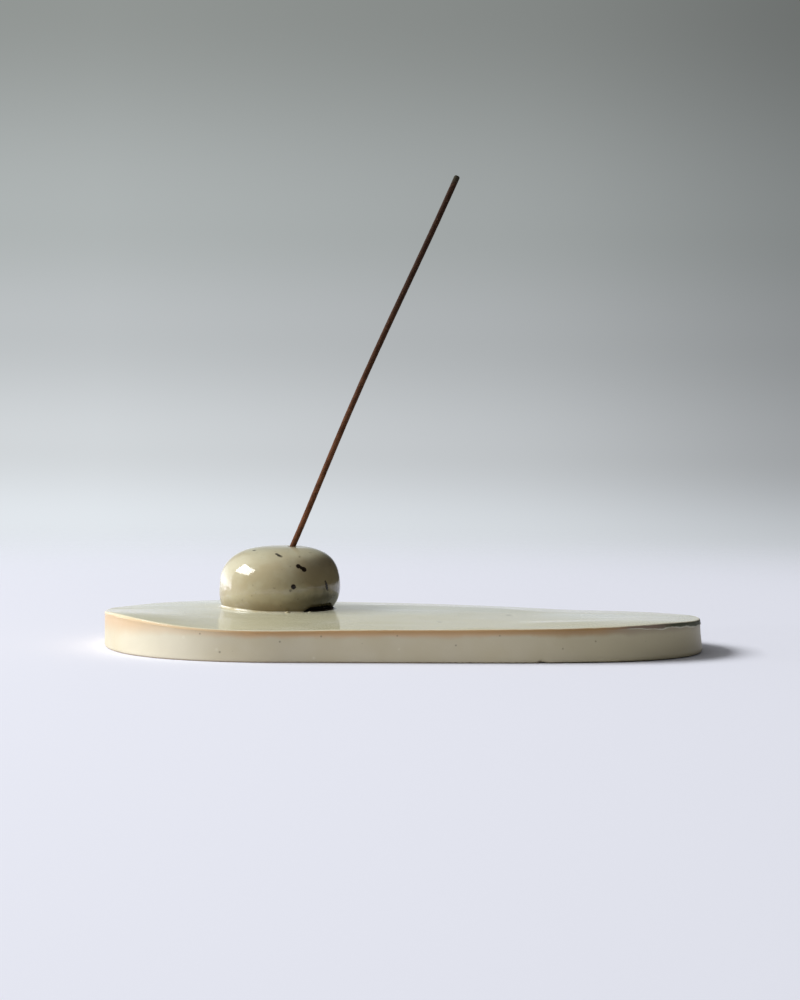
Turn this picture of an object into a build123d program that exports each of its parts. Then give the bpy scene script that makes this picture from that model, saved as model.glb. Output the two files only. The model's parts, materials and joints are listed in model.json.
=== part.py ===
from build123d import *
from math import cos, radians, sin
import os

# Incense stick holder: a flat stoneware tray under a glossy deck of glaze, a round
# pebble held to the deck by a seam of glaze, and a stick that stands in a slanted
# bore in the pebble. The tray lies along X, wide end at -X, and the origin is under
# the middle of the tray. Lengths are millimetres, +Z is up.

# Tray: a long oblong, a little wider at one end
tray_length = 190.0
wide_end_radius = 50.0
narrow_end_radius = 37.5
slab_thickness = 9.6
slab_foot_radius = 0.8

# Deck glaze: a glassy layer over the whole top, with a rounded lip just past the slab
glaze_thickness = 0.9
glaze_overhang = 0.3
glaze_lip_radius = 0.55

# Pebble: stands behind the long axis, towards the wide end
pebble_x = -40.0
pebble_y = 20.0
pebble_radius = 19.4
pebble_height = 19.7
pebble_foot_share = 0.89
belly_height_share = 0.32
# Side of the pebble from belly to crown, as shares of its radius and height
pebble_side_shares = ((0.975, 0.55), (0.9, 0.73), (0.68, 0.905), (0.38, 0.985))
foot_flare_shares = (0.5, 1.0)

# Glaze seam: a ring of glaze run round the pebble's foot
seam_width = 1.6
seam_height = 0.9
seam_hollow_share = 0.36

# Stick and its bore, which leans towards the narrow end
stick_length = 140.0
stick_diameter = 2.0
stick_tip_radius = 0.7
stick_lean = 23.3
bore_clearance = 0.2
bore_depth = 8.8
bore_mouth_radius = 0.4
bore_offset = 4.0
seat_clearance = 0.1
cut_overrun = 4.0

# Places worked out from the sizes
wide_end_x = wide_end_radius - tray_length / 2
narrow_end_x = tray_length / 2 - narrow_end_radius
deck_height = slab_thickness + glaze_thickness
pebble_plane = Plane((pebble_x, pebble_y, deck_height), x_dir=(-1, 0, 0), z_dir=(0, 1, 0))
pebble_axis = Axis((pebble_x, pebble_y, deck_height), (0, 0, 1))
pebble_foot_radius = pebble_radius * pebble_foot_share
stick_direction = Vector(sin(radians(stick_lean)), 0, cos(radians(stick_lean)))
crown_point = Vector(pebble_x + bore_offset, pebble_y, deck_height + pebble_height)
bore_start = crown_point + stick_direction * cut_overrun
stick_seat = crown_point - stick_direction * (bore_depth - seat_clearance)


def tray_outline(inset):
    # The hull of the two end circles, drawn in all round by the inset
    with BuildSketch() as outline:
        with Locations((wide_end_x, 0)):
            Circle(wide_end_radius - inset)
        with Locations((narrow_end_x, 0)):
            Circle(narrow_end_radius - inset)
        make_hull()
    return outline.sketch


# Slab of stoneware, its foot edge eased where it meets the table
with BuildPart() as tray:
    with BuildSketch():
        add(tray_outline(glaze_overhang))
    extrude(amount=slab_thickness)
    fillet(tray.edges().group_by(Axis.Z)[0], slab_foot_radius)

# Glaze poured over the slab's top
with BuildPart() as deck_glaze:
    with BuildSketch(Plane.XY.offset(slab_thickness)):
        add(tray_outline(0))
    extrude(amount=glaze_thickness)
    fillet(deck_glaze.edges().group_by(Axis.Z)[-1], glaze_lip_radius)

# Pebble: a turned form with a short straight foot, then the slanted blind bore
with BuildPart() as pebble:
    with BuildSketch(pebble_plane):
        with BuildLine():
            foot = Polyline((0, 0), (pebble_foot_radius, 0), (pebble_foot_radius, seam_height))
            belly = (pebble_radius, pebble_height * belly_height_share)
            side = [(pebble_radius * r, pebble_height * h) for r, h in pebble_side_shares]
            crown = (0, pebble_height)
            Spline(foot @ 1, belly, tangents=(foot_flare_shares, (0, 1)))
            Spline(belly, *side, crown, tangents=((0, 1), (-1, 0)))
            Line(crown, foot @ 0)
        make_face()
    revolve(axis=pebble_axis)
    with Locations(Plane(bore_start, x_dir=(0, 1, 0), z_dir=stick_direction)):
        Hole(stick_diameter / 2 + bore_clearance, depth=bore_depth + cut_overrun)
    fillet(pebble.edges().sort_by(Axis.Z)[-1], bore_mouth_radius)

# Seam: a hollow fillet between the pebble's foot and the deck
with BuildPart() as glaze_seam:
    with BuildSketch(pebble_plane):
        with BuildLine():
            outer = (pebble_foot_radius + seam_width, 0)
            upper = (pebble_foot_radius, seam_height)
            hollow = (
                pebble_foot_radius + seam_width * seam_hollow_share,
                seam_height * seam_hollow_share,
            )
            ThreePointArc(upper, hollow, outer)
            Polyline(outer, (pebble_foot_radius, 0), upper)
        make_face()
    revolve(axis=pebble_axis)

# Stick: a plain round rod with a rounded tip, seated on the bottom of the bore
with BuildPart() as incense_stick:
    with BuildSketch(Plane(stick_seat, x_dir=(0, 1, 0), z_dir=stick_direction)):
        Circle(stick_diameter / 2)
    extrude(amount=stick_length)
    rims = incense_stick.edges().filter_by(GeomType.CIRCLE).sort_by(Axis.Z)
    fillet(rims[-1], stick_tip_radius)

pieces = {
    "tray": tray,
    "deck_glaze": deck_glaze,
    "pebble": pebble,
    "glaze_seam": glaze_seam,
    "incense_stick": incense_stick,
}
os.makedirs("parts", exist_ok=True)
for name, piece in pieces.items():
    piece.part.label = name
    export_step(piece.part, f"parts/{name}.step")
    box = piece.part.bounding_box()
    print(f"{name}: {piece.part.volume:.1f} mm3, from {box.min} to {box.max}")
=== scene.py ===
import json
from math import acos, asin, atan2, ceil, cos, degrees, exp, hypot, pi, radians, sin, tan

import bmesh
import bpy
from mathutils import Matrix, Quaternion, Vector, noise


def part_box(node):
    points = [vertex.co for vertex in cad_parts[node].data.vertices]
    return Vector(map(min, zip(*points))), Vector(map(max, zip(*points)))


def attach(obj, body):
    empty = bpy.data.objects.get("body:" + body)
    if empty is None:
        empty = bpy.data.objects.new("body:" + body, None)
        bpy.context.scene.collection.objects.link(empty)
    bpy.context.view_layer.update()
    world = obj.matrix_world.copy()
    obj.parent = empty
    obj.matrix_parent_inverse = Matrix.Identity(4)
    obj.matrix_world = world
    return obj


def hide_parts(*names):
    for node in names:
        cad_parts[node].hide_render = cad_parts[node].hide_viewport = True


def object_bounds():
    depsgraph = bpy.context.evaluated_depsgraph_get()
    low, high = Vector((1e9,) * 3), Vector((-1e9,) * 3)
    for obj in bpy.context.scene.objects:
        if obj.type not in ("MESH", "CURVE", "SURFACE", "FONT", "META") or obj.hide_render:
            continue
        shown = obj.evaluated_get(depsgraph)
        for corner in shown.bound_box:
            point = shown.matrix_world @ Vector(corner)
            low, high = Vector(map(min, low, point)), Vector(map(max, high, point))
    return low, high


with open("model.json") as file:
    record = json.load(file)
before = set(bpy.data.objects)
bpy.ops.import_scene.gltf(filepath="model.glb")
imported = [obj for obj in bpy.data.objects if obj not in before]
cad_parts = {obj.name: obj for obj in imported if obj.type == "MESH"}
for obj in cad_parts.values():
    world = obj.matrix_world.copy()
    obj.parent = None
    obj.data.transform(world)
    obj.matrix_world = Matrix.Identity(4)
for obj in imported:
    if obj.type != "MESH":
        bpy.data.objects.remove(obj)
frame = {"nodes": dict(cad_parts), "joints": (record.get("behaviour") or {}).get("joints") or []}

mm = 0.001
cadLow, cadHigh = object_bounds()
print("frame loaded:", ", ".join(sorted(frame["nodes"])))


# Shader sums: a socket that can stand in an expression

class Wire:
    def __init__(self, tree, socket=None):
        self.tree = tree
        self.socket = socket

    def node(self, kind, settings, inputs, output=0):
        made = self.tree.nodes.new("ShaderNode" + kind)
        for name, value in settings.items():
            if name == "stops":
                setStops(made.color_ramp, value)
            else:
                setattr(made, name, value)
        for name, value in inputs.items():
            if isinstance(value, Wire):
                self.tree.links.new(value.socket, made.inputs[name])
            else:
                made.inputs[name].default_value = value
        return Wire(self.tree, made.outputs[output] if made.outputs else None)

    def sum(self, operation, first, second):
        return self.node("Math", {"operation": operation}, {0: first, 1: second})

    def __add__(self, other):
        return self.sum("ADD", self, other)

    def __radd__(self, other):
        return self.sum("ADD", other, self)

    def __sub__(self, other):
        return self.sum("SUBTRACT", self, other)

    def __rsub__(self, other):
        return self.sum("SUBTRACT", other, self)

    def __mul__(self, other):
        return self.sum("MULTIPLY", self, other)

    def __rmul__(self, other):
        return self.sum("MULTIPLY", other, self)

    def __truediv__(self, other):
        return self.sum("DIVIDE", self, other)


def setStops(ramp, stops):
    ramp.interpolation = "EASE"
    while len(ramp.elements) < len(stops):
        ramp.elements.new(1.0)
    for element, (position, tint) in zip(ramp.elements, stops):
        element.position = position
        element.color = tint


def tint(red, green, blue):
    # 8-bit screen values to the linear ones that shaders take
    def linear(value):
        share = value / 255
        return share / 12.92 if share <= 0.04045 else ((share + 0.055) / 1.055) ** 2.4
    return (linear(red), linear(green), linear(blue), 1.0)


def blend(mask, low, high):   # colour low where the mask is 0, high where it is 1
    return mask.node("Mix", {"data_type": "RGBA"}, {0: mask, 6: low, 7: high}, 2)


def ease(value, low, high):   # 0 below low, 1 above high, smooth between
    return value.node("MapRange", {"interpolation_type": "SMOOTHSTEP"},
                      {"Value": value, "From Min": low, "From Max": high})


def atLeast(value, other):
    return value.sum("MAXIMUM", value, other)


def atMost(value, other):
    return value.sum("MINIMUM", value, other)


def cloudy(spot, size, detail=2.0):   # soft noise, about 0.3 to 0.7, with features of that size
    return spot.node("TexNoise", {}, {"Vector": spot, "Scale": 1 / size, "Detail": detail})


def waver(spot, size, amount, detail=2.0):   # noise round 0, to fray an edge
    return (cloudy(spot, size, detail) - 0.5) * amount


def stretched(spot, x, y, z):   # the same place with its axes scaled, to draw noise out
    return spot.node("VectorMath", {"operation": "MULTIPLY"}, {0: spot, 1: (x, y, z)})


def gapTo(spot, point):   # how far a place is from a point
    return spot.node("VectorMath", {"operation": "DISTANCE"}, {0: spot, 1: point}, "Value")


def near(spot, point, reach, softness):   # 1 within reach of a point, fading over the softness
    return 1 - ease(gapTo(spot, point), reach - softness, reach + softness)


def newMaterial(name):
    material = bpy.data.materials.new(name)
    material.use_nodes = True
    material.node_tree.nodes.clear()
    web = Wire(material.node_tree)
    place = web.node("TexCoord", {}, {}, "Object")
    spot = web.node("VectorMath", {"operation": "SCALE"}, {0: place, "Scale": 1 / mm})
    return material, web, spot   # spot is the place on the object in millimetres


def axes(spot):
    apart = spot.node("SeparateXYZ", {}, {0: spot})
    outputs = apart.socket.node.outputs
    return [Wire(spot.tree, outputs[name]) for name in ("X", "Y", "Z")]


def attribute(web, name):
    return web.node("Attribute", {"attribute_name": name}, {}, "Fac")


def bump(height, distance):   # height 0 to 1 stands for that distance in millimetres
    return height.node("Bump", {}, {"Height": height, "Strength": 1.0, "Distance": distance * mm})


def surface(web, colour, rough, relief, piece):
    shader = web.node("BsdfPrincipled", {}, {
        "Base Color": colour, "Roughness": rough, "IOR": piece["ior"],
        "Normal": bump(relief, piece["reliefDepth"])})
    web.node("OutputMaterial", {}, {"Surface": shader})


# Mesh helpers

weldGap = 0.001 * mm        # points nearer than this become one
creaseTurn = radians(40)    # edges that bend more than this stay sharp


def isVert(item):
    return isinstance(item, bmesh.types.BMVert)


def nextRing(bm, ring, place):
    # draws a ring of edges out into a strip of faces, its new points moved to their places
    made = bmesh.ops.extrude_edge_only(bm, edges=ring)["geom"]
    for vert in filter(isVert, made):
        vert.co = place(vert.co)
    return [e for e in made if isinstance(e, bmesh.types.BMEdge) and e.is_boundary]


def flat(co):   # the same point at height 0
    return Vector((co.x, co.y, 0))


def addObject(name, data):
    made = bpy.data.objects.new(name, data)
    bpy.context.scene.collection.objects.link(made)
    return made


def addMesh(bm, name, material):
    mesh = bpy.data.meshes.new(name)
    bm.to_mesh(mesh)
    bm.free()
    mesh.materials.append(material)
    return addObject(name, mesh)


def finishPiece(bm, name, material, body, node):
    bmesh.ops.remove_doubles(bm, verts=bm.verts, dist=weldGap)
    bmesh.ops.recalc_face_normals(bm, faces=bm.faces)
    for face in bm.faces:
        face.smooth = True
    for edge in bm.edges:
        edge.smooth = edge.calc_face_angle(0) < creaseTurn
    piece = addMesh(bm, name, material)
    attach(piece, body)
    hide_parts(node)
    print(name, "made:", len(piece.data.polygons), "faces")
    return piece


def smoothShare(value, low, high):
    share = min(max((value - low) / (high - low), 0), 1)
    return share * share * (3 - 2 * share)


def wavy(co, size, seed=0.0):   # smooth noise, -1 to 1
    return noise.noise(Vector((co.x / size, co.y / size, co.z / size + seed)))


# Outline that slab and glaze share: the hull of two end circles, shaped a little by hand

deckLow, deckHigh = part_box("deck_glaze")
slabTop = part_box("tray")[1].z

outline = {
    "narrowEnd": 37.5 * mm,
    "pointSpacing": 0.9 * mm,
    "swells": (               # x, y, spread and lift of each rise or dip in the rim
        (-88 * mm, -28 * mm, 24 * mm, 1.8 * mm),
        (-50 * mm, -50 * mm, 32 * mm, -0.6 * mm),
        (46 * mm, -42 * mm, 24 * mm, 0.3 * mm),
        (79 * mm, -27 * mm, 23 * mm, 1.1 * mm),
        (62 * mm, 38 * mm, 28 * mm, -0.9 * mm),
    ),
    "bulges": (               # x, y, spread and push where the rim is fuller than the drawn line
        (-80 * mm, -38 * mm, 27 * mm, 1.8 * mm),
    ),
    # front side fuller than the drawn line: along x it grows, is most and is gone, and its push
    "frontFullness": (-75 * mm, 45 * mm, 86 * mm, 3.0 * mm),
    "frontDeep": 30 * mm,     # this far from the long axis the push is whole
    "wander": 0.25 * mm,      # how far the wall strays besides
    "wanderSize": 34 * mm,
    "wanderSeeds": (11.5, 23.5),   # along X, and along Y
}

wideEnd = deckHigh.y
wideX = deckLow.x + wideEnd
narrowX = deckHigh.x - outline["narrowEnd"]
sideTurn = asin((wideEnd - outline["narrowEnd"]) / (narrowX - wideX))


def spineFoot(co):   # the point of the long axis that a rim point is measured from
    along = co.x - abs(co.y) * tan(sideTurn)
    return Vector((min(max(along, wideX), narrowX), 0, co.z))


def rimPlace(co, grow, z):   # on the outline, moved outwards by grow, at height z
    foot = spineFoot(co)
    out = Vector((co.x - foot.x, co.y, 0)).normalized()
    radius = wideEnd - (foot.x - wideX) * sin(sideTurn)
    return Vector((foot.x, 0, z)) + out * (radius + grow)


def rimRing(bm, grow, z):
    # one point carried round the wide end, along the front, round the narrow end and back
    def spunEnd(vert, x, radius, turn):
        steps = ceil(radius * turn / outline["pointSpacing"])
        spun = bmesh.ops.spin(bm, geom=[vert], cent=(x, 0, z), axis=(0, 0, 1),
                              angle=turn, steps=steps)
        return next(filter(isVert, spun["geom_last"]))

    def tangent(x, radius, side):
        return (x + radius * sin(sideTurn), side * radius * cos(sideTurn), z)

    wide = wideEnd + grow
    narrow = outline["narrowEnd"] + grow
    first = bm.verts.new(tangent(wideX, wide, 1))
    frontLeft = spunEnd(first, wideX, wide, pi + 2 * sideTurn)
    drawn = bmesh.ops.extrude_vert_indiv(bm, verts=[frontLeft])
    frontRight = drawn["verts"][0]
    frontRight.co = tangent(narrowX, narrow, -1)
    backRight = spunEnd(frontRight, narrowX, narrow, pi - 2 * sideTurn)
    sides = [drawn["edges"][0], bm.edges.new((backRight, first))]
    cuts = ceil(sides[0].calc_length() / outline["pointSpacing"])
    bmesh.ops.subdivide_edges(bm, edges=sides, cuts=cuts)
    return bm.edges[:]


def fillToSpine(bm, ring, steps, z):
    # rings drawn in to the long axis, where the two sides meet
    for step in range(steps):
        share = 1 / (steps - step)

        def inward(co):
            foot = spineFoot(co)
            return Vector((co.x + (foot.x - co.x) * share, co.y * (1 - share), z))
        ring = nextRing(bm, ring, inward)


def hills(co, places):   # the summed height of soft round hills at a point
    return sum(height * exp(-((co.x - x) ** 2 + (co.y - y) ** 2) / spread ** 2)
               for x, y, spread, height in places)


def handShaped(co):   # the uneven form of the hand-cut slab; its underside stays flat
    lift = hills(co, outline["swells"]) * co.z / deckHigh.z
    foot = spineFoot(co)
    grows, most, gone, fullness = outline["frontFullness"]
    along = smoothShare(co.x, grows, most) * (1 - smoothShare(co.x, most, gone))
    front = along * smoothShare(-co.y, 0, outline["frontDeep"])
    push = (co - foot) * (hills(co, outline["bulges"]) + fullness * front) / outline["narrowEnd"]
    stray = [outline["wander"] * wavy(flat(co), outline["wanderSize"], seed)
             for seed in outline["wanderSeeds"]]
    return co + push + Vector((*stray, lift))


# Tray: the stoneware slab

tray = {
    "wallRings": 9,
    "footRadius": 0.8 * mm,
    "footMore": 0.7 * mm,      # the foot edge is rounder by this at the narrow end
    "footSpan": (20 * mm, 75 * mm),     # and grows so along this stretch of x
    "footSteps": 4,
    "hiddenRings": 6,          # on the faces that nothing shows
    "tuck": 0.05 * mm,         # the wall stands this far inside the glaze's lip
    "hollow": 0.15 * mm,       # how far the wall dips in at half height, at the narrow end
    "hollowSpan": (55 * mm, 90 * mm),
    "flare": 1.0 * mm,         # how far its foot stands out there
    "flareSpan": (72 * mm, 94 * mm),
    "dents": 0.12 * mm,
    "dentSize": 9 * mm,
    "chips": ((43.2, 1.2, 0.5), (50.7, 0.8, 0.3)),   # along the front foot: x, reach and depth, mm
    "pits": (                  # on the front: x, z and size, mm
        (-38.0, 6.9, 0.30), (16.7, 5.6, 0.28), (-56.4, 3.2, 0.34), (-63.2, 8.7, 0.26),
        (-25.2, 8.5, 0.28), (-1.6, 8.6, 0.24), (30.4, 8.5, 0.24), (61.0, 6.4, 0.28),
        (50.4, 4.4, 0.26),
    ),
    "paintedGlints": (                # painted glints: pale highlight spots, listed the same way
        (-57.4, 4.0, 0.42), (-69.5, 7.2, 0.5), (-27.4, 1.6, 0.4), (-1.0, 4.4, 0.3),
    ),
    "wallColours": (tint(207, 197, 170), tint(204, 193, 163)),
    # darker at the narrow end: painted shade
    "wallColourShadedNarrow": tint(185, 175, 143),
    "paleGlazeAndGlintColour": tint(229, 223, 203),
    "paleLitPatch": (-82.0, 3.6, 17.0),   # thicker, paler glaze on the front wall, lit more as painted light: x, z and size, mm
    "bandColours": (tint(194, 156, 110), tint(204, 168, 126)),   # thin glaze by the lip, and lower
    "bandColourFar": tint(160, 128, 85),   # the same on the narrow half
    "duskColour": tint(138, 118, 102),   # and greyed near the narrow end
    "clayAndFootShadeColours": (tint(190, 166, 140), tint(78, 68, 54)),   # bare clay at the wide end, painted contact shadow at the narrow
    "pitColour": tint(96, 84, 66),
    "bandTall": 1.5,           # mm below the lip
    "bandTallWide": 2.6,       # more of it round the wide end
    "wallSpan": (15.0, 80.0),  # along x, mm: where the wall takes the painted shade of its narrow end
    "bandSpan": (15.0, 60.0),  # and the band its far one
    "duskSpan": (58.0, 76.0),  # and its greyed one
    "clayToShadeSpan": (-40.0, 40.0),
    "wideSpan": (66.0, 92.0),  # along -x: where the band grows taller
    "fadedSpans": ((46.0, 62.0), (70.0, 88.0)),   # and where it pales, and comes back
    "clayTall": (0.1, 0.5),    # mm: bare clay and its painted shade show below the first, none above the second
    "patchSize": 11.0,         # mm, of paler and darker patches
    "grainSize": 0.5,          # and of the grain that frays the bare clay's edge
    "ior": 1.4,
    "reliefDepth": 0.14,       # mm
}


def stonewareMaterial():
    material, web, spot = newMaterial("stoneware")
    x, _, z = axes(spot)
    drop = attribute(web, "drop")   # mm below the slab's top
    patches = cloudy(spot, tray["patchSize"], 2.0)
    grain = cloudy(spot, tray["grainSize"], 2.0)
    wall = blend(ease(patches, 0.34, 0.66), *tray["wallColours"])
    # the narrow end darkened as painted shade
    wall = blend(ease(x, *tray["wallSpan"]), wall, tray["wallColourShadedNarrow"])
    patchX, patchZ, patchSize = tray["paleLitPatch"]
    patch = near(spot, frontPlace(patchX, patchZ) / mm, patchSize, patchSize * 0.6)
    # paler glaze, partly painted light on the front-left wall
    wall = blend(patch * (0.35 + patches * 0.35), wall, tray["paleGlazeAndGlintColour"])
    toWide = ease(-1 * x, *tray["wideSpan"])
    toNarrow = ease(x, *tray["duskSpan"])
    ragged = waver(spot, 8.0, 1.6, 1.0) + waver(spot, 1.6, 0.5, 1.0)
    tall = tray["bandTall"] + toWide * tray["bandTallWide"] + ragged
    band = 1 - ease(drop, tall * 0.2, tall * 1.4 + 0.2)
    bandTint = blend(ease(drop, 0.0, 1.2), *tray["bandColours"])
    bandTint = blend(ease(x, *tray["bandSpan"]) * 0.8, bandTint, tray["bandColourFar"])
    bandTint = blend(toNarrow, bandTint, tray["duskColour"])
    pales, returns = tray["fadedSpans"]
    faded = ease(-1 * x, *pales) * (1 - ease(-1 * x, *returns))
    colour = blend(band * (0.95 - toWide * 0.25 - toNarrow * 0.45 - faded * 0.5), wall, bandTint)
    clay = 1 - ease(z + (grain - 0.5) * 0.5, *tray["clayTall"])
    # the foot's bare clay, turning to painted contact shadow towards the narrow end
    colour = blend(clay, colour, blend(ease(x, *tray["clayToShadeSpan"]), *tray["clayAndFootShadeColours"]))
    pits = ease(cloudy(spot, 1.4, 0.0), 0.86, 0.90) * 0.6
    for chipX, reach, depth in tray["chips"]:
        bite = near(spot, frontPlace(chipX, 0) / mm, reach * 0.8, 0.35)
        pits = atLeast(pits, bite * min(2, depth * 3.2))
    for pitX, pitZ, size in tray["pits"]:
        pits = atLeast(pits, near(spot, frontPlace(pitX, pitZ) / mm, size, 0.15))
    colour = blend(pits * 0.5, colour, tray["pitColour"])
    # painted highlights on the front wall
    for glintX, glintZ, size in tray["paintedGlints"]:
        glint = near(spot, frontPlace(glintX, glintZ) / mm, size, 0.3)
        colour = blend(glint * 0.4, colour, tray["paleGlazeAndGlintColour"])
    rough = 0.30 + patches * 0.15 + clay * 0.4
    relief = cloudy(spot, 3.2, 2.0) * 0.5 + grain * 0.08
    relief = relief + cloudy(spot, tray["patchSize"], 1.0) * 0.35
    surface(web, colour, rough, relief, tray)
    return material


def frontPlace(x, z):   # a point of the finished front wall, from its place along and up it in mm
    side = Vector((x, -cadHigh.y / mm, z)) * mm
    return handShaped(rimPlace(side, -tray["tuck"], z * mm))


def chipped(co):   # small bites out of the front foot edge
    for chipX, reach, depth in tray["chips"]:
        gap = hypot(co.x / mm - chipX, co.z / mm)
        if co.y < 0 and gap < reach:
            co = co + Vector((0, 1, 0.5)) * depth * mm * (1 - (gap / reach) ** 2)
    return co


def buildTray():
    bm = bmesh.new()
    dropLayer = bm.verts.layers.float.new("drop")

    def footRound(co):
        return tray["footRadius"] + tray["footMore"] * smoothShare(co.x, *tray["footSpan"])

    def footPlace(co, turn):
        grow = -tray["tuck"] - footRound(co) * (1 - sin(turn))
        return rimPlace(co, grow, footRound(co) * (1 - cos(turn)))

    ring = rimRing(bm, 0, 0)
    for vert in bm.verts:
        vert.co = footPlace(vert.co, 0)
    base = ring
    for step in range(1, tray["footSteps"] + 1):
        turn = pi / 2 * step / tray["footSteps"]
        ring = nextRing(bm, ring, lambda co: footPlace(co, turn))
    for step in range(1, tray["wallRings"] + 1):
        share = step / tray["wallRings"]

        def wallPlace(co):
            z = footRound(co) + (slabTop - footRound(co)) * share
            middle = sin(pi * share)
            hollow = tray["hollow"] * middle * smoothShare(co.x, *tray["hollowSpan"])
            dent = tray["dents"] * wavy(Vector((co.x, co.y, z)), tray["dentSize"]) * middle
            return rimPlace(co, dent - hollow - tray["tuck"], z)
        ring = nextRing(bm, ring, wallPlace)
    fillToSpine(bm, ring, tray["hiddenRings"], slabTop)
    fillToSpine(bm, base, tray["hiddenRings"], 0)
    for vert in bm.verts:
        co = vert.co
        vert[dropLayer] = (slabTop - co.z) / mm
        flare = tray["flare"] * smoothShare(co.x, *tray["flareSpan"]) * (1 - co.z / slabTop)
        vert.co = chipped(handShaped(co)) + Vector((flare, 0, 0))
    return finishPiece(bm, "tray_slab", stonewareMaterial(), "holder", "tray")


# Deck glaze: the glassy layer over the slab, which rolls over the rim and runs at the narrow end

deck = {
    "lipSteps": 6,
    "lipRadius": 0.55 * mm,
    "tuckIn": 0.5 * mm,        # how far the hidden inner edge of the lip goes into the slab
    "topRings": 40,
    "waves": 0.06 * mm,
    "waveSize": 24 * mm,
    "ripples": 0.06 * mm,      # fainter waves, drawn out along the deck
    "rippleSize": 8 * mm,
    "rippleStretch": 3.0,
    "rolls": (                 # low rolls along a side: from x, to x, side, inset, spread, height
        (-8 * mm, 38 * mm, 1, 16 * mm, 11 * mm, 0.36 * mm),
        (38 * mm, 60 * mm, -1, 15 * mm, 10 * mm, 0.33 * mm),
    ),
    "rollEnd": 9 * mm,         # how softly they start and end
    "backFall": (0.45 * mm, 24 * mm),   # the glaze's fall to the back rim, and from how far in
    "backSpan": (8 * mm, 26 * mm),      # along y: from where to where the deck becomes its back
    "runs": 1.7 * mm,          # how far the glaze has run down the wall at the narrow end
    "runSize": 4.5 * mm,
    "runSpan": (66 * mm, 87 * mm),
    "runRoll": 0.25 * mm,      # how far its lower edge stands out
    "rollShare": 0.7,          # at this share of its depth
    "edgeRound": 0.12 * mm,    # how far that edge is rounded
    "lipFoot": 0.2 * mm,       # from here above the slab the lip stands straight
    "lipWander": 0.22 * mm,
    "lipWanderSize": 6 * mm,
    "satinSize": 0.12,         # mm, of fine crystals that dull the mirror
    "colours": (tint(198, 194, 164), tint(204, 201, 177)),
    "poolAndLitColour": tint(214, 220, 217),
    "poolsAndLitSpot": (                 # whiter glaze, and at -6, 20 painted light on the pebble's shadow: x, y and size, mm
        (34.0, 24.0, 26.0), (-66.0, 28.0, 26.0), (-6.0, 20.0, 20.0), (72.0, 4.0, 22.0),
    ),
    "rimGlintAndSheenColours": (tint(228, 216, 188), tint(222, 226, 224)),   # thin glaze with painted highlight at the front, painted reflection at the back
    "lipColourWide": tint(224, 200, 162),   # under the lip round the wide end
    "runShadeAndGlintColours": (tint(76, 78, 56), tint(200, 195, 175)),   # thick glaze, partly painted shade, and its lower edge's painted highlight
    "gapShadowColour": tint(30, 22, 15),   # painted shadow in the gap under the pebble
    "gapShadowTurns": (24, 36, 84, 106),   # degrees round the pebble: it opens, is full, thins, ends
    "gapShadowReach": 18.3,        # mm from the pebble's middle
    "thinInset": (0.1, 1.3),   # mm in from the rim, over which the thin glaze there ends
    "sheenInset": (2.0, 20.0),  # and the painted reflection along the back edge
    "sheenSpan": (-86.0, -56.0),     # along x, mm: where that begins
    "underDrop": (0.12, 0.36),      # mm below the top, where the lip turns under
    "glintShares": (0.64, 0.84),     # of the way down it, where its lower edge's painted highlight begins
    "lipWideSpan": (44.0, 66.0),    # along -x: where it takes its wide end's colour
    "lipDuskSpan": (62.0, 72.0),    # along x: where it is greyed
    "glintSpan": (66.0, 72.0),  # where its lower edge takes the painted highlight
    "darkSpan": (79.0, 85.0),  # and where the glaze that ran is dark, partly painted shade
    "ior": 1.34,
    "reliefDepth": 1.0,        # mm
    "speckColour": tint(92, 84, 66),
    "specks": ((34.0, 4.5, 0.9), (88.3, 17.5, 0.9), (11.5, -22.0, 0.7)),   # x, y and size, mm
}


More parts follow.
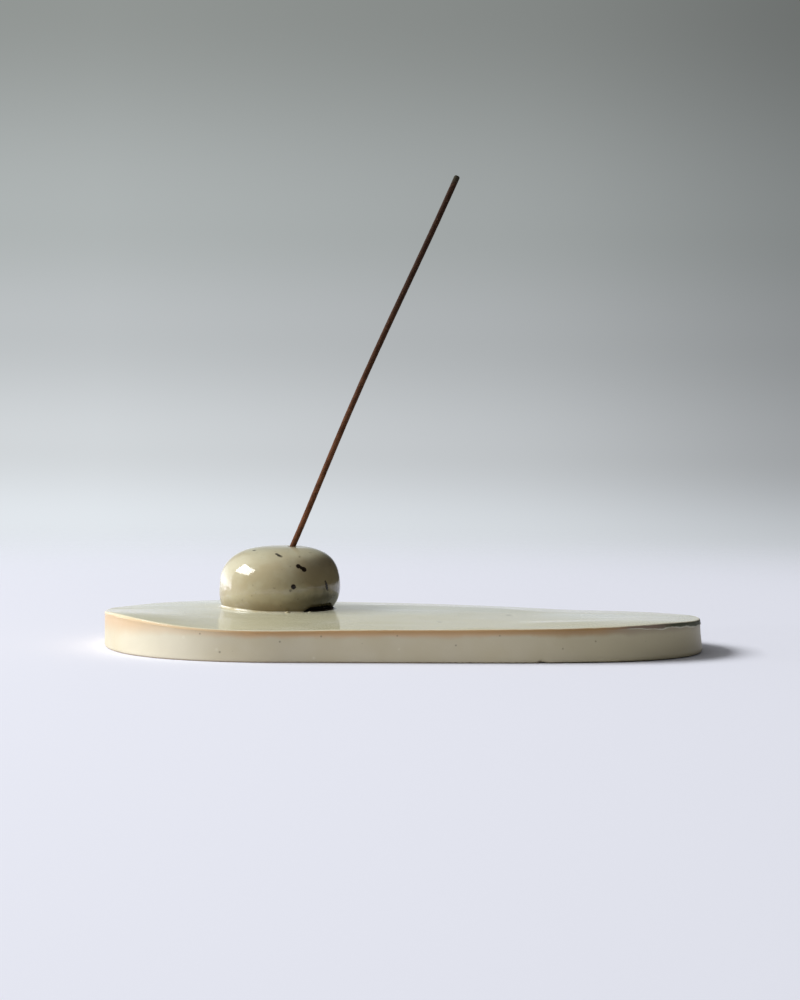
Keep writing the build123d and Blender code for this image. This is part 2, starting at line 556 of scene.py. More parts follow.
def deckGlazeMaterial():
    material, web, spot = newMaterial("deck_glaze")
    x, y, _ = axes(spot)
    drop = attribute(web, "drop")   # mm below the glaze's top
    inset = attribute(web, "inset")   # mm in from the rim
    run = attribute(web, "run")   # 0 at the lip's top, 1 at the lower edge
    top = deckHigh.z / mm
    mottle = ease(cloudy(spot, 30.0, 2.0), 0.34, 0.66)
    colour = blend(mottle, *deck["colours"])
    fleece = 0.32 + ease(cloudy(stretched(spot, 0.5, 1.0, 1.0), 14.0, 2.0), 0.30, 0.70) * 0.35
    # whiter glaze, and painted light over the pebble's shadow
    for poolX, poolY, size in deck["poolsAndLitSpot"]:
        pool = near(spot, (poolX, poolY, top), size, size * 0.9)
        colour = blend(pool * fleece, colour, deck["poolAndLitColour"])
    thin = 1 - ease(inset + waver(spot, 3.0, 1.6), *deck["thinInset"])
    toBack = ease(y, *(place / mm for place in deck["backSpan"]))
    # painted reflection: the back rim paler and bluer, as the backdrop mirrored in it
    pale = (1 - ease(inset, *deck["sheenInset"])) * toBack * ease(x, *deck["sheenSpan"])
    colour = blend(pale * 0.45, colour, deck["rimGlintAndSheenColours"][1])
    # thin glaze at the rim, with painted highlight at the front and painted reflection at the back
    colour = blend(thin * 0.5, colour, blend(toBack, *deck["rimGlintAndSheenColours"]))
    under = ease(drop + waver(spot, 2.4, 0.3), *deck["underDrop"])
    edge = ease(run + waver(spot, 1.5, 0.3), *deck["glintShares"])
    along = x + waver(spot, 4.0, 8.0)
    lipTint = blend(ease(x, *tray["bandSpan"]) * 0.8, tray["bandColours"][0], tray["bandColourFar"])
    lipTint = blend(ease(-1 * x, *deck["lipWideSpan"]) * 0.85, lipTint, deck["lipColourWide"])
    lipTint = blend(ease(along, *deck["lipDuskSpan"]), lipTint, tray["duskColour"])
    running = ease(along, *deck["darkSpan"])
    # thick glaze, its darkness partly painted shade
    lipTint = blend(running, lipTint, deck["runShadeAndGlintColours"][0])
    # painted highlight along the run's lower edge
    lipTint = blend(edge * ease(along, *deck["glintSpan"]) * 0.9, lipTint, deck["runShadeAndGlintColours"][1])
    colour = blend(under, colour, lipTint)
    # painted shadow in the gap under the pebble's raised foot
    opens, full, thins, ends = (radians(turn) for turn in deck["gapShadowTurns"])
    right, back = x - pebbleMid.x / mm, y - pebbleMid.y / mm
    around = web.sum("ARCTAN2", right, -1 * back)
    away = web.sum("SQRT", right * right + back * back, 0.0) + waver(spot, 2.2, 1.6)
    ending = ease(around, thins, ends)
    reach = deck["gapShadowReach"] - ending * 1.2
    gapShadow = (1 - ease(away - reach, -0.5, 0.5)) * ease(around, opens, full) * (1 - ending)
    colour = blend(gapShadow, colour, deck["gapShadowColour"])
    dots = (cloudy(spot, 1.2, 0.0) - 0.88) * 6.0
    for dotX, dotY, size in deck["specks"]:
        dots = atLeast(dots, near(spot, (dotX, dotY, top), size, 0.25))
    colour = blend(atMost(atLeast(dots, 0.0), 0.8), colour, deck["speckColour"])
    satin = ease(cloudy(spot, deck["satinSize"], 0.0), 0.52, 0.56)
    rough = 0.03 + cloudy(spot, 24.0, 1.0) * 0.06 + under * (0.12 + running * 0.25) + satin * 0.6
    relief = cloudy(spot, 18.0, 1.0) * 0.05 + cloudy(spot, 3.0, 1.0) * 0.002
    surface(web, colour, rough, relief, deck)
    return material


def runDepth(co):   # how far the glaze hangs below the slab's top at a rim point
    scallop = 0.55 + 0.6 * wavy(flat(co), deck["runSize"], 3.0)
    wander = 0.5 + 0.5 * wavy(flat(co), deck["lipWanderSize"], 7.0)
    return deck["runs"] * scallop * smoothShare(co.x, *deck["runSpan"]) + deck["lipWander"] * wander


def rollHeight(co, inset):   # of the low rolls of glaze that follow the rim
    height = 0
    soft = deck["rollEnd"]
    for start, end, side, crest, spread, tall in deck["rolls"]:
        along = smoothShare(co.x, start - soft, start + soft)
        along *= 1 - smoothShare(co.x, end - soft, end + soft)
        rise = smoothShare(inset, crest - spread, crest)
        rise *= 1 - smoothShare(inset, crest, crest + spread)
        height += tall * along * rise * (co.y * side > 0)
    return height


def fallAt(co, inset):   # how far the glaze has fallen away towards the back rim
    fall, reach = deck["backFall"]
    level = smoothShare(co.z, slabTop, deckHigh.z)
    return fall * max(0, 1 - inset / reach) ** 2 * smoothShare(co.y, *deck["backSpan"]) * level


def buildDeckGlaze():
    bm = bmesh.new()
    dropLayer = bm.verts.layers.float.new("drop")
    insetLayer = bm.verts.layers.float.new("inset")
    runLayer = bm.verts.layers.float.new("run")
    lip = deck["lipRadius"]
    top = deckHigh.z
    ring = rimRing(bm, -deck["tuckIn"] - tray["tuck"], slabTop)
    base = ring
    ring = nextRing(bm, ring, lambda co: rimPlace(co, -deck["tuckIn"], slabTop - runDepth(co)))
    ring = nextRing(bm, ring, lambda co: rimPlace(co, -deck["edgeRound"], slabTop - runDepth(co)))

    def rolledOut(co):
        depth = runDepth(co)
        z = slabTop - depth * deck["rollShare"] + deck["edgeRound"]
        return rimPlace(co, deck["runRoll"] * depth / deck["runs"], z)
    ring = nextRing(bm, ring, rolledOut)
    ring = nextRing(bm, ring, lambda co: rimPlace(co, 0, slabTop + deck["lipFoot"]))
    for step in range(deck["lipSteps"] + 1):
        turn = pi / 2 * step / deck["lipSteps"]
        grow = -lip * (1 - cos(turn))
        ring = nextRing(bm, ring, lambda co: rimPlace(co, grow, top - lip * (1 - sin(turn))))
    fillToSpine(bm, ring, deck["topRings"], top)
    fillToSpine(bm, base, tray["hiddenRings"], slabTop)
    flatTop = top - 0.01 * mm   # points above this lie on the flat of the deck
    for vert in bm.verts:
        co = vert.co
        vert[dropLayer] = (top - co.z) / mm
        vert[runLayer] = (top - co.z) / (top - slabTop + runDepth(co))
        inset = (rimPlace(co, 0, co.z) - co).length if abs(co.y) > 0 else wideEnd
        vert[insetLayer] = inset / mm
        drawnOut = Vector((co.x / deck["rippleStretch"], co.y, 0))
        wave = deck["waves"] * wavy(co, deck["waveSize"]) + rollHeight(co, inset)
        wave += deck["ripples"] * wavy(drawnOut, deck["rippleSize"])
        rise = wave if co.z > flatTop else 0
        vert.co = handShaped(co) + Vector((0, 0, rise - fallAt(co, inset)))
    return finishPiece(bm, "deck_glaze_layer", deckGlazeMaterial(),
                       "holder", "deck_glaze")


# Pebble: a squashed round with a flat crown and the slanted bore for the stick

pebbleLow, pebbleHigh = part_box("pebble")
pebbleMid = Vector(((pebbleLow.x + pebbleHigh.x) / 2,
                    (pebbleLow.y + pebbleHigh.y) / 2, pebbleLow.z))
pebbleRadius = (pebbleHigh.x - pebbleLow.x) / 2
pebbleTall = pebbleHigh.z - pebbleLow.z
stickAxis = Vector(frame["joints"][0]["axis"]).normalized()
stickAcross = Vector((stickAxis.z, 0, -stickAxis.x))

pebble = {
    "segments": 96,
    "bellyShare": 0.32,
    "crownPower": 2.75,        # 2 is an ellipse, more is squarer
    "crownLift": 0.3 * mm,
    "footPower": 2.2,
    "footReach": 13.5 * mm,
    "shoulder": 10.2 * mm,     # inside this radius the rings gather round the bore
    "innerRings": 7,
    "sideRings": 14,
    "footRings": 7,
    "footSlip": 0.8 * mm,      # the foot stands this far towards -X
    "shoulderSlip": 0.4 * mm,  # and the shoulder this far towards +X
    "footShare": 0.45,         # of the height, up to which the foot's slip reaches
    "shoulderShares": (0.5, 0.9),   # between which the shoulder's grows
    "sideSwell": 0.3 * mm,     # the -X side is this much fuller
    "calmRadius": 6 * mm,      # inside this the slips die out
    "liftShare": 0.35,         # above this share of the height they push upwards too
    "gap": 1.5 * mm,           # on one side the foot stands this far off the deck
    "gapReach": 2.6 * mm,      # and this far in under the pebble
    "gapTurns": (24, 38, 66, 95),   # degrees from the front: it opens, is full, narrows, shuts
    "lumps": 0.16 * mm,
    "lumpSize": 10 * mm,
    "boreOffset": 3.7 * mm,
    "boreRadius": 1.2 * mm,
    "boreDepth": 9.1 * mm,     # from the lifted crown, to just below the stick's foot
    "boreRings": 4,
    "mouthRound": 0.5 * mm,
    "mouthSteps": 5,
    "sunk": 0.05 * mm,         # into the deck, under the foot
    "colours": (tint(187, 179, 150), tint(178, 166, 134)),
    "crownColour": tint(186, 182, 154),
    "paintedShadeColour": tint(112, 98, 74),   # painted shade on the side of the gap, away from the window
    "footAndShadeColours": (tint(134, 116, 82), tint(62, 57, 36)),   # round the foot browner glaze and painted shade, by the gap painted shade
    "speckColour": tint(34, 25, 16),
    # painted shade inside the gap under the foot
    "gapShadeColour": tint(24, 18, 12),
    "crownShares": (0.72, 1.0),     # of the height, over which the crown's colour comes in
    "baseShares": (0.02, 0.28),     # and the foot's goes out
    "paintedShadeShares": ((0.30, 0.52), (0.80, 0.95)),   # and the painted shade comes in, and goes out
    "paintedShadeSide": ((-5.0, 15.0), (-4.0, 10.0)),   # mm from its middle: begins along x, ends along y
    "speckSoft": 0.14,         # mm, of a speck's edge
    "ior": 1.5,
    "reliefDepth": 0.10,       # mm
    "specks": (                # degrees round from the front, height and size in mm, strength
        (-54.0, 19.0, 0.55, 0.8), (-50.0, 19.0, 0.45, 0.6),
        (-4.8, 18.4, 0.52, 0.9), (-3.2, 18.25, 0.54, 0.9), (-1.3, 18.05, 0.58, 0.95),
        (0.6, 17.88, 0.54, 0.9), (2.6, 17.7, 0.44, 0.6),
        (26.8, 17.5, 0.36, 0.45),
        (50.0, 18.4, 0.36, 0.35), (53.0, 18.4, 0.32, 0.3),
        (20.8, 14.8, 0.84, 1.0), (23.4, 14.35, 0.66, 1.0), (26.2, 13.8, 0.86, 1.0),
        (14.1, 8.4, 0.84, 1.0), (11.3, 7.2, 0.42, 0.5),
        (50.5, 9.6, 0.42, 0.9), (51.2, 8.9, 0.54, 0.9), (52.0, 8.2, 0.64, 1.0),
        (52.8, 7.5, 0.60, 1.0), (53.5, 6.9, 0.42, 0.8),
        (-150.0, 15.0, 0.5, 0.9), (-112.0, 8.0, 0.6, 0.9), (98.0, 16.8, 0.42, 0.8),
        (150.0, 12.5, 0.5, 0.9), (172.0, 6.2, 0.36, 0.8), (-80.0, 12.0, 0.3, 0.6),
    ),
}
bellyTall = pebbleTall * pebble["bellyShare"]
crownRise = pebbleTall + pebble["crownLift"] - bellyTall


def pebbleRadiusAt(height):
    if height >= bellyTall:
        power, share = pebble["crownPower"], (height - bellyTall) / crownRise
    else:
        power, share = pebble["footPower"], (bellyTall - height) / pebble["footReach"]
    return pebbleRadius * max(1 - share ** power, 0) ** (1 / power)


def crownHeight(radius):
    power = pebble["crownPower"]
    return bellyTall + crownRise * max(1 - (radius / pebbleRadius) ** power, 0) ** (1 / power)


def turnShare(co, turns):   # grows from 0 to 1 and back at these degrees round from the front
    opens, full, narrows, shuts = turns
    turn = degrees(atan2(co.x, -co.y))
    return smoothShare(turn, opens, full) * (1 - smoothShare(turn, narrows, shuts))


def gapShare(co):   # how far the gap under the foot is open on this side
    return turnShare(co, pebble["gapTurns"])


def pebbleShaped(co, weight):   # a place on the turned form, pushed about as a hand does
    height = co.z / pebbleTall
    away = hypot(co.x, co.y)
    toLeft = -co.x / max(away, pebble["calmRadius"])
    foot = max(0, 1 - height / pebble["footShare"]) ** 2
    shoulder = smoothShare(height, *pebble["shoulderShares"])
    slip = pebble["footSlip"] * foot - pebble["shoulderSlip"] * shoulder
    shift = toLeft * slip + max(toLeft, 0) * pebble["sideSwell"]
    shift += pebble["lumps"] * wavy(co, pebble["lumpSize"], 2.0)
    raised = pebble["gap"] * gapShare(co) * max(0, 1 - co.z / bellyTall)
    upwards = max(0, (height - pebble["liftShare"]) * pebbleTall)
    out = Vector((co.x, co.y, upwards)).normalized()
    return co + out * shift * weight + Vector((0, 0, raised))


def speckPlace(turn, height):   # a point of the finished side, in mm
    radius = pebbleRadiusAt(height * mm)
    around = radians(turn)
    side = Vector((radius * sin(around), -radius * cos(around), height * mm))
    return (pebbleMid + pebbleShaped(side, 1)) / mm


def pebbleGlazeMaterial():
    material, web, spot = newMaterial("pebble_glaze")
    x, y, z = axes(spot)
    height = (z - pebbleMid.z / mm) / (pebbleTall / mm)
    mottle = ease(cloudy(spot, 8.0, 3.0), 0.38, 0.62)
    colour = blend(mottle, *pebble["colours"])
    crown = ease(height + waver(spot, 5.0, 0.3), *pebble["crownShares"])
    colour = blend(crown * 0.6, colour, pebble["crownColour"])
    # painted shade on the pebble's side away from the window
    begins, ends = pebble["paintedShadeSide"]
    toGap = ease(x - pebbleMid.x / mm, *begins) * (1 - ease(y - pebbleMid.y / mm, *ends))
    comes, goes = pebble["paintedShadeShares"]
    shade = toGap * ease(height + waver(spot, 7.0, 0.4), *comes)
    shade = shade * (1 - ease(height, *goes))
    colour = blend(shade * 0.68, colour, pebble["paintedShadeColour"])
    # darker round the foot: browner glaze and painted shade, deepest by the gap
    low = 1 - ease(height + waver(spot, 4.0, 0.2) - toGap * 0.20, *pebble["baseShares"])
    colour = blend(low * (0.7 + toGap * 0.25), colour, blend(toGap, *pebble["footAndShadeColours"]))
    # the underside in the gap: painted shade
    under = ease(attribute(web, "under"), 0.02, 0.25)
    colour = blend(under, colour, pebble["gapShadeColour"])
    spots = ease(cloudy(spot, 0.9, 1.0), 0.70, 0.78) * 0.25
    jitter = waver(spot, 0.6, 0.4, 1.0)
    soft = pebble["speckSoft"]
    for turn, tall, size, strength in pebble["specks"]:
        gap = gapTo(spot, speckPlace(turn, tall)) + jitter
        spots = atLeast(spots, (1 - ease(gap, size - soft, size + soft)) * strength)
    colour = blend(spots, colour, pebble["speckColour"])
    rough = 0.06 + cloudy(spot, 9.0, 2.0) * 0.08 + spots * 0.15 + under * 0.7
    relief = cloudy(spot, 4.0, 1.0) + cloudy(spot, 1.3, 1.0) * 0.12
    surface(web, colour, rough, relief, pebble)
    return material


def buildPebble():
    bm = bmesh.new()
    gapShadeLayer = bm.verts.layers.float.new("under")
    mouth = pebble["boreRadius"] + pebble["mouthRound"]
    boreTop = Vector((pebble["boreOffset"], 0, crownHeight(pebble["boreOffset"])))

    def turnOf(co):   # angle of a point round the bore's axis, or further out the pebble's
        return atan2(co.y - ringMid.y, co.x - ringMid.x)

    def borePlace(turn, radius, depth):
        side = stickAcross * cos(turn) + Vector((0, sin(turn), 0))
        point = boreTop + side * radius
        toCrown = (crownHeight(hypot(point.x, point.y)) - point.z) / stickAxis.z
        return point + stickAxis * (toCrown - depth)

    def crownPlace(turn, radius, share):
        middle = pebble["boreOffset"] * (1 - share)
        wide = radius * (1 + (1 / stickAxis.z - 1) * (1 - share))
        point = Vector((middle + wide * cos(turn), radius * sin(turn), 0))
        point.z = crownHeight(hypot(point.x, point.y))
        return pebbleShaped(point, share)

    made = bmesh.ops.create_circle(bm, segments=pebble["segments"], radius=mouth, cap_ends=False)
    ringMid = Vector((0, 0, 0))
    for vert in made["verts"]:
        vert.co = crownPlace(turnOf(vert.co), mouth, 0)
    first = bm.edges[:]
    ringMid = Vector((pebble["boreOffset"], 0, 0))
    ring = first
    for step in range(1, pebble["innerRings"] + 1):
        share = step / pebble["innerRings"]
        radius = mouth + (pebble["shoulder"] - mouth) * share ** 1.4
        eased = smoothShare(share ** 1.2, 0, 1)
        ring = nextRing(bm, ring, lambda co: crownPlace(turnOf(co), radius, eased))
        ringMid = Vector((pebble["boreOffset"] * (1 - eased), 0, 0))
    start = acos((pebble["shoulder"] / pebbleRadius) ** (pebble["crownPower"] / 2))
    end = asin((bellyTall / pebble["footReach"]) ** (pebble["footPower"] / 2))
    sideTurns = [start * (1 - n / pebble["sideRings"]) for n in range(1, pebble["sideRings"] + 1)]
    footTurns = [-end * n / pebble["footRings"] for n in range(1, pebble["footRings"] + 1)]
    for angle in sideTurns + footTurns:
        power = pebble["crownPower"] if angle >= 0 else pebble["footPower"]
        reach = crownRise if angle >= 0 else pebble["footReach"]
        radius = pebbleRadius * cos(angle) ** (2 / power)
        rise = abs(sin(angle)) ** (2 / power) * reach
        height = bellyTall + (rise if angle >= 0 else -rise)
        ring = nextRing(bm, ring, lambda co: pebbleShaped(
            Vector((radius * cos(turnOf(co)), radius * sin(turnOf(co)), height)), 1))
    ring = nextRing(bm, ring, lambda co: co - flat(co).normalized() * pebble["gapReach"])
    for edge in ring:
        for vert in edge.verts:
            vert[gapShadeLayer] = 1
    ring = nextRing(bm, ring, lambda co: Vector((co.x, co.y, -pebble["sunk"])))
    bmesh.ops.edgeloop_fill(bm, edges=ring)
    ring = first
    ringMid = Vector((pebble["boreOffset"], 0, 0))
    for step in range(1, pebble["mouthSteps"] + 1):
        turn = pi / 2 * step / pebble["mouthSteps"]
        radius = pebble["boreRadius"] + pebble["mouthRound"] * (1 - sin(turn))
        sink = pebble["mouthRound"] * (1 - cos(turn))
        ring = nextRing(bm, ring, lambda co: borePlace(turnOf(co), radius, sink))
    bottom = boreTop - stickAxis * pebble["boreDepth"]
    for step in range(pebble["boreRings"]):
        share = 1 / (pebble["boreRings"] - step)

        def deeper(co):
            return co - stickAxis * ((co - bottom).dot(stickAxis) * share)
        ring = nextRing(bm, ring, deeper)
    bmesh.ops.edgeloop_fill(bm, edges=ring)
    bmesh.ops.translate(bm, verts=bm.verts, vec=pebbleMid)
    return finishPiece(bm, "pebble_body", pebbleGlazeMaterial(),
                       "holder", "pebble")


# Glaze seam: the ring of glaze that ran round the pebble's foot and holds it

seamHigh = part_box("glaze_seam")[1]

seam = {
    "segments": 120,
    "profileSteps": 6,
    "sunk": 0.12 * mm,         # into the deck and the pebble, so no crack shows
    "inside": 1.2 * mm,        # how far in under the pebble its hidden side lies
    "lowShare": 0.38,          # it is full height towards -X, and this share of that elsewhere
    "recess": 2.4 * mm,        # how far in it stands where the pebble's foot is off the deck
    "wobble": 0.3 * mm,
    "wobbleSize": 7 * mm,
    "beads": ((8.6, 0.72 * mm), (31.9, 0.45 * mm)),   # drops: degrees from the front, and radius
    "beadOut": 0.15 * mm,      # past the seam's edge
    "beadShape": (1.3, 1, 0.7, 1),
    "colours": (tint(200, 194, 170), tint(188, 178, 146)),
    "ior": 1.5,
    "reliefDepth": 0.06,       # mm
}


def seamGlazeMaterial():
    material, web, spot = newMaterial("seam_glaze")
    colour = blend(ease(cloudy(spot, 3.0, 2.0), 0.4, 0.6), *seam["colours"])
    # painted shadow where the seam lies in the gap
    colour = blend(ease(attribute(web, "burnt"), 0.02, 0.3), colour, pebble["gapShadeColour"])
    rough = 0.05 + cloudy(spot, 4.0) * 0.06
    surface(web, colour, rough, cloudy(spot, 2.0, 1.0), seam)
    return material


def buildSeam():
    bm = bmesh.new()
    gapShadowLayer = bm.verts.layers.float.new("burnt")
    outer = seamHigh.x - pebbleMid.x
    tall = seamHigh.z - pebbleMid.z
    inner = pebbleRadiusAt(tall)
    hidden = inner - seam["inside"]
    profile = []   # hollow quarter round, from the pebble's side out to the deck
    for step in range(seam["profileSteps"] + 1):
        turn = pi / 2 * step / seam["profileSteps"]
        profile.append((outer - (outer - inner) * cos(turn), 0, tall * (1 - sin(turn))))
    profile += [(outer, 0, -seam["sunk"]), (hidden, 0, -seam["sunk"]), (hidden, 0, tall)]
    first = last = bm.verts.new(profile[0])
    for point in profile[1:]:
        last = bmesh.ops.extrude_vert_indiv(bm, verts=[last])["verts"][0]
        last.co = point
    bm.edges.new((last, first))
    bmesh.ops.spin(bm, geom=bm.verts[:] + bm.edges[:], cent=(0, 0, 0), axis=(0, 0, 1),
                   angle=2 * pi, steps=seam["segments"], use_merge=True)
    for vert in bm.verts:
        co = vert.co
        away = hypot(co.x, co.y)
        toLeft = -co.x / away
        vert[gapShadowLayer] = turnShare(co, deck["gapShadowTurns"])
        push = toLeft * pebble["footSlip"] + max(toLeft, 0) * pebble["sideSwell"]
        push -= seam["recess"] * gapShare(co)
        push += smoothShare(away, inner, outer) * seam["wobble"] * wavy(co, seam["wobbleSize"], 5.0)
        full = seam["lowShare"] + (1 - seam["lowShare"]) * smoothShare(toLeft, 0.2, 0.8)
        wider = 1 + push / away
        vert.co = Vector((co.x * wider, co.y * wider, co.z * (full if co.z > 0 else 1)))
    for turn, radius in seam["beads"]:
        around = radians(turn)
        place = Vector((sin(around), -cos(around), 0)) * (outer + seam["beadOut"])
        flattened = Matrix.Translation(place) @ Matrix.Diagonal(seam["beadShape"])
        bmesh.ops.create_uvsphere(bm, u_segments=16, v_segments=10, radius=radius, matrix=flattened)
    bmesh.ops.translate(bm, verts=bm.verts, vec=pebbleMid)
    return finishPiece(bm, "glaze_seam_ring", seamGlazeMaterial(),
                       "holder", "glaze_seam")


# Incense stick: a pressed round stick, a little bowed, standing in the bore

stick = {
    "segments": 24,
    "length": 140.4 * mm,
    "radius": 0.95 * mm,
    "seatDepth": 8.7 * mm,     # along the bore, from the crown to the stick's foot
    "ringSpacing": 0.7 * mm,
    "tipRound": 0.7 * mm,
    "tipSteps": 4,
    "bow": 1.0 * mm,
    "bowPower": 0.85,          # below 1 the bow is most below half way
    "lumps": 0.035 * mm,
    "lumpSize": 1.4 * mm,
    "colours": (tint(108, 68, 43), tint(82, 48, 27)),
    "upperShadeColour": tint(37, 20, 10),
    "upperShadeSpan": (30.0, 130.0),     # mm up, over which painted shade darkens it to that
    "tipColour": tint(52, 50, 38),
    "fleckColours": (tint(42, 27, 17), tint(136, 102, 72)),
    "ior": 1.25,
    "reliefDepth": 0.12,       # mm
}


def incenseMaterial():
    material, web, spot = newMaterial("incense")
    z = axes(spot)[2]
    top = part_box("incense_stick")[1].z / mm
    colour = blend(ease(cloudy(spot, 3.0, 3.0), 0.36, 0.64), *stick["colours"])
    # darker higher up: painted shade
    colour = blend(ease(z, *stick["upperShadeSpan"]) * 0.9, colour, stick["upperShadeColour"])
    dark = ease(cloudy(spot, 0.45, 2.0), 0.56, 0.70)
    pale = ease(cloudy(stretched(spot, 1.0, 1.0, 0.5), 0.3, 2.0), 0.60, 0.74)
    colour = blend(dark * 0.6, colour, stick["fleckColours"][0])
    colour = blend(pale * 0.45, colour, stick["fleckColours"][1])
    tip = ease(z, top - 3.0, top - 0.4)
    colour = blend(tip * 0.8, colour, stick["tipColour"])
    relief = cloudy(spot, 0.5, 3.0) + cloudy(spot, 0.16, 2.0) * 0.5
    surface(web, colour, 0.8 + dark * 0.12, relief, stick)
    return material


def buildStick():
    bm = bmesh.new()
    crown = pebbleMid + Vector((pebble["boreOffset"], 0, pebbleTall))
    seat = crown - stickAxis * stick["seatDepth"]
    turned = Matrix((stickAcross, (0, 1, 0), stickAxis)).transposed().to_4x4()
    bmesh.ops.create_circle(bm, segments=stick["segments"], radius=stick["radius"], cap_ends=True)
    straight = stick["length"] - stick["tipRound"]
    ring = bm.edges[:]
    rings = ceil(straight / stick["ringSpacing"])
    for step in range(rings):
        ring = nextRing(bm, ring, lambda co: co + Vector((0, 0, straight / rings)))
    for step in range(1, stick["tipSteps"] + 1):
        turn = pi / 2 * step / (stick["tipSteps"] + 1)
        radius = stick["radius"] - stick["tipRound"] * (1 - cos(turn))
        z = straight + stick["tipRound"] * sin(turn)
        ring = nextRing(bm, ring, lambda co: flat(co).normalized() * radius + Vector((0, 0, z)))
    bmesh.ops.edgeloop_fill(bm, edges=ring)
    for vert in bm.verts:
        co = vert.co
        free = min(max((co.z - stick["seatDepth"]) / (stick["length"] - stick["seatDepth"]), 0), 1)
        lump = stick["lumps"] * wavy(co, stick["lumpSize"], 1.0) * smoothShare(free, 0, 0.02)
        bend = stick["bow"] * sin(pi * free ** stick["bowPower"]) ** 2
        vert.co = co + flat(co) / stick["radius"] * lump - Vector((bend, 0, 0))
    bmesh.ops.transform(bm, matrix=Matrix.Translation(seat) @ turned, verts=bm.verts)
    return finishPiece(bm, "incense_stick_rod", incenseMaterial(),
                       "stick", "incense_stick")


# Stage: floor, backdrop, window light and camera

stage = {
    "floorMid": (0, -0.25, 0),
    "floorReach": (0.42, 0.78),    # solid out to the first radius, gone at the second
    "floorSegments": 96,
    "floorColour": (0.80, 0.815, 0.90, 1.0),
    "backdropStops": (             # sine of the sight line's slope, and the colour there
        (-0.115, tint(230, 232, 243)),
        (-0.090, tint(227, 230, 240)),
        (-0.075, tint(216, 221, 226)),
        (-0.054, tint(196, 200, 203)),
        (-0.024, tint(176, 180, 182)),
        (0.003, tint(163, 168, 168)),
        (0.060, tint(136, 140, 138)),
        (0.240, tint(124, 128, 126)),
    ),
    "mirrorSlope": (-0.090, 0.45),  # the near backdrop, as the low glaze sees it: start and gain
    "darkSpan": (-0.11, -0.05),    # slope above which the seen backdrop is darker to the right
    "groundSpan": (-0.16, -0.08),  # and below which the glaze mirrors the floor, not the room
    "glowTurns": (0.32, 0.52, 1.26, 1.31),   # bright wall in the mirrors: radians from +Y to -X
    "glowTop": (0.72, 0.88),       # slope where it ends
    "glowLevels": (2.4, 3.4),      # at its far side, and how much more by the window
    "roomLevel": 0.21,             # light from the room, and off the floor
    "floorLevel": 0.75,
    "windowSlope": 37,             # degrees above the floor
    "windowTurn": 3.5,             # degrees from -X towards the camera
    "windowFar": 3.5,
    "windowSize": (2.40, 1.37),
    "windowPower": 157.0,
    "softShare": 0.55,             # of its light, which the pebble does not stop
}

cameraSpot = {
    "place": (-1.5 * mm, -1243.2 * mm, 130.66 * mm),
    "aim": (-1.5 * mm, 0, 47.3 * mm),
    "roll": 0.72,                  # degrees
    "focalPixels": 3899,
    "longSidePixels": 1000,
    "clip": (0.01, 20),
}


def buildFloor():
    bm = bmesh.new()
    solid, empty = stage["floorReach"]
    bmesh.ops.create_circle(bm, segments=stage["floorSegments"], radius=empty, cap_ends=True)
    bmesh.ops.translate(bm, verts=bm.verts, vec=stage["floorMid"])
    material, web, spot = newMaterial("pale_floor")
    middle = tuple(value / mm for value in stage["floorMid"])
    gone = ease(gapTo(spot, middle), solid / mm, empty / mm)
    paint = web.node("BsdfDiffuse", {}, {"Color": stage["floorColour"]})
    clear = web.node("BsdfTransparent", {}, {})
    mixed = web.node("MixShader", {}, {0: gone, 1: paint, 2: clear})
    web.node("OutputMaterial", {}, {"Surface": mixed})
    floor = addMesh(bm, "floor", material)


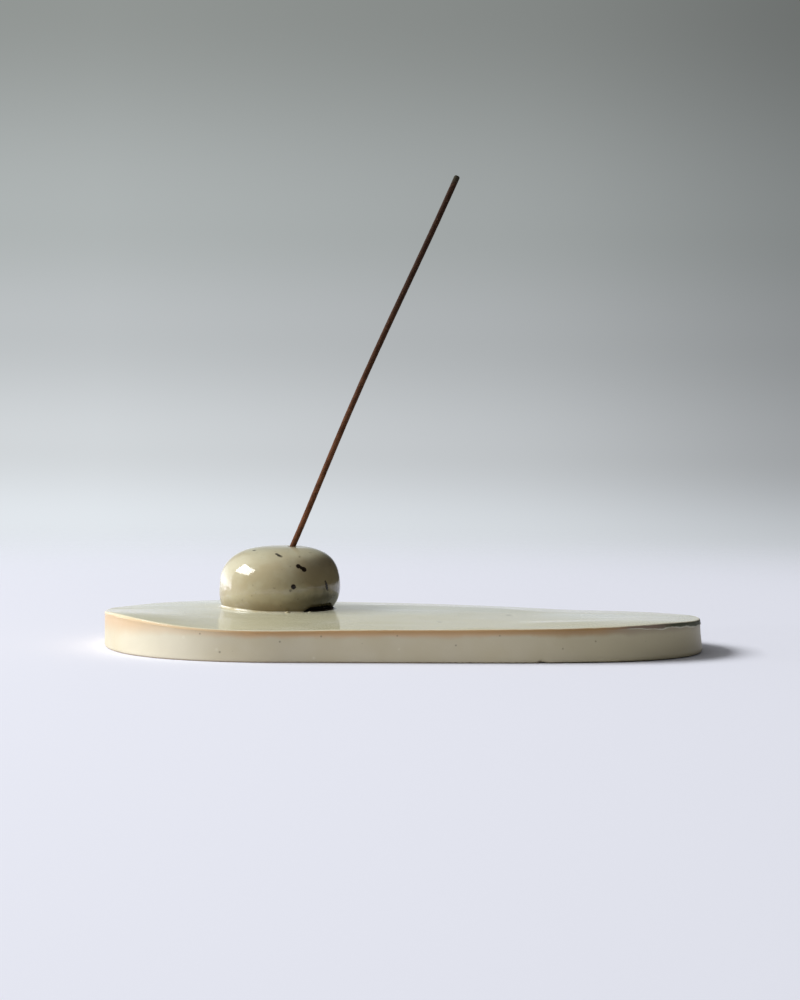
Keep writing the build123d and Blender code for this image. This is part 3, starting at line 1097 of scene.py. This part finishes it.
def buildWorld():
    world = bpy.data.worlds.new("studio")
    bpy.context.scene.world = world
    world.use_nodes = True
    world.node_tree.nodes.clear()
    web = Wire(world.node_tree)
    sight = web.node("TexCoord", {}, {}, "Generated")
    x, y, slope = axes(sight)
    rays = web.node("LightPath", {}, {}).socket.node.outputs
    seen = Wire(web.tree, rays["Is Camera Ray"])
    mirrored = Wire(web.tree, rays["Is Glossy Ray"])
    base, gain = stage["mirrorSlope"]
    looked = slope * seen + (slope * gain + base) * (1 - seen)
    lowest, highest = stage["backdropStops"][0][0], stage["backdropStops"][-1][0]
    stops = [((at - lowest) / (highest - lowest), shade) for at, shade in stage["backdropStops"]]
    backdrop = web.node("ValToRGB", {"stops": stops}, {0: (looked - lowest) / (highest - lowest)})
    toDark = ease(slope, *stage["darkSpan"])
    sideways = atLeast(atMost(-2.2 * x, 0.17), -0.42) - ease(x, 0.02, 0.11) * 0.15
    seenSide = 1 + sideways * toDark   # the seen backdrop is darker to the right
    around = web.sum("ARCTAN2", -1 * x, y)   # from +Y towards -X
    opens, full, thins, ends = stage["glowTurns"]
    glow = ease(around, opens, full) * (1 - ease(around, thins, ends))
    glow = glow * (1 - ease(slope, *stage["glowTop"]))
    level, more = stage["glowLevels"]
    glow = glow * (level + ease(around, 0.5, 1.1) * more)
    tilted = atLeast(atMost(1 - x * 2.2, 1.25), 0.6)
    # the mirrored room and floor are dim to the right, and the room behind the camera too
    room = tilted * (1 - ease(x, 0.10, 0.36)) * (1 - ease(-1 * y, 0.0, 0.5) * 0.85) + glow + 0.04
    ground = 0.6 - ease(x, 0.05, 0.4) * 0.52
    above = ease(slope, *stage["groundSpan"])
    roomSide = room * above + ground * (1 - above)
    side = seenSide * seen + roomSide * (1 - seen)
    shown = atMost(seen + mirrored, 1.0)
    # light on what isn't mirrored: more low down and from the window's side
    low = (1 - ease(slope, 0.1, 0.5)) * (1 - ease(x, 0.0, 0.6))
    sky = ease(-1 * x, 0.15, 0.45) * ease(slope, 0.50, 0.65) * (1 - ease(slope, 0.92, 0.98))
    soft = stage["roomLevel"] - x * 0.15 + low * 0.06 + sky * 0.2
    below = 1 - ease(slope, -0.12, 0.0)
    roomLight = soft * (1 - below) + below * stage["floorLevel"]
    viewed = web.node("Background", {}, {"Color": backdrop, "Strength": side})
    lit = web.node("Background", {}, {"Color": (1.0, 1.0, 1.0, 1.0), "Strength": roomLight})
    mixed = web.node("MixShader", {}, {0: shown, 1: lit, 2: viewed})
    web.node("OutputWorld", {}, {"Surface": mixed})


def buildWindow(name, share):
    slope, turn = radians(stage["windowSlope"]), radians(stage["windowTurn"])
    light = bpy.data.lights.new(name, "AREA")
    light.shape = "RECTANGLE"
    light.size, light.size_y = stage["windowSize"]
    light.energy = stage["windowPower"] * share
    window = addObject(name, light)
    toLight = Vector((-cos(slope) * cos(turn), -cos(slope) * sin(turn), sin(slope)))
    window.location = toLight * stage["windowFar"]
    window.rotation_euler = toLight.to_track_quat("Z", "Y").to_euler()
    window.visible_camera = False
    return window


def passThrough(window, piece):   # the piece throws no shadow in this light
    ignored = bpy.data.collections.new("no_shadow_" + window.name)
    ignored.objects.link(piece)
    ignored.collection_objects[0].light_linking.link_state = "EXCLUDE"
    window.light_linking.blocker_collection = ignored


def buildCamera():
    data = bpy.data.cameras.new("camera")
    data.lens = data.sensor_width * cameraSpot["focalPixels"] / cameraSpot["longSidePixels"]
    data.clip_start, data.clip_end = cameraSpot["clip"]
    camera = addObject("camera", data)
    place, aim = Vector(cameraSpot["place"]), Vector(cameraSpot["aim"])
    level = (aim - place).to_track_quat("-Z", "Y")
    camera.location = place
    camera.rotation_mode = "QUATERNION"
    camera.rotation_quaternion = level @ Quaternion((0, 0, 1), radians(cameraSpot["roll"]))
    bpy.context.scene.camera = camera


buildCamera()
buildFloor()
buildWorld()
buildWindow("window", 1 - stage["softShare"])
softWindow = buildWindow("window_soft", stage["softShare"])
bpy.context.scene.view_settings.view_transform = "Standard"
print("stage set")

buildTray()
buildDeckGlaze()
passThrough(softWindow, buildPebble())
buildSeam()
buildStick()
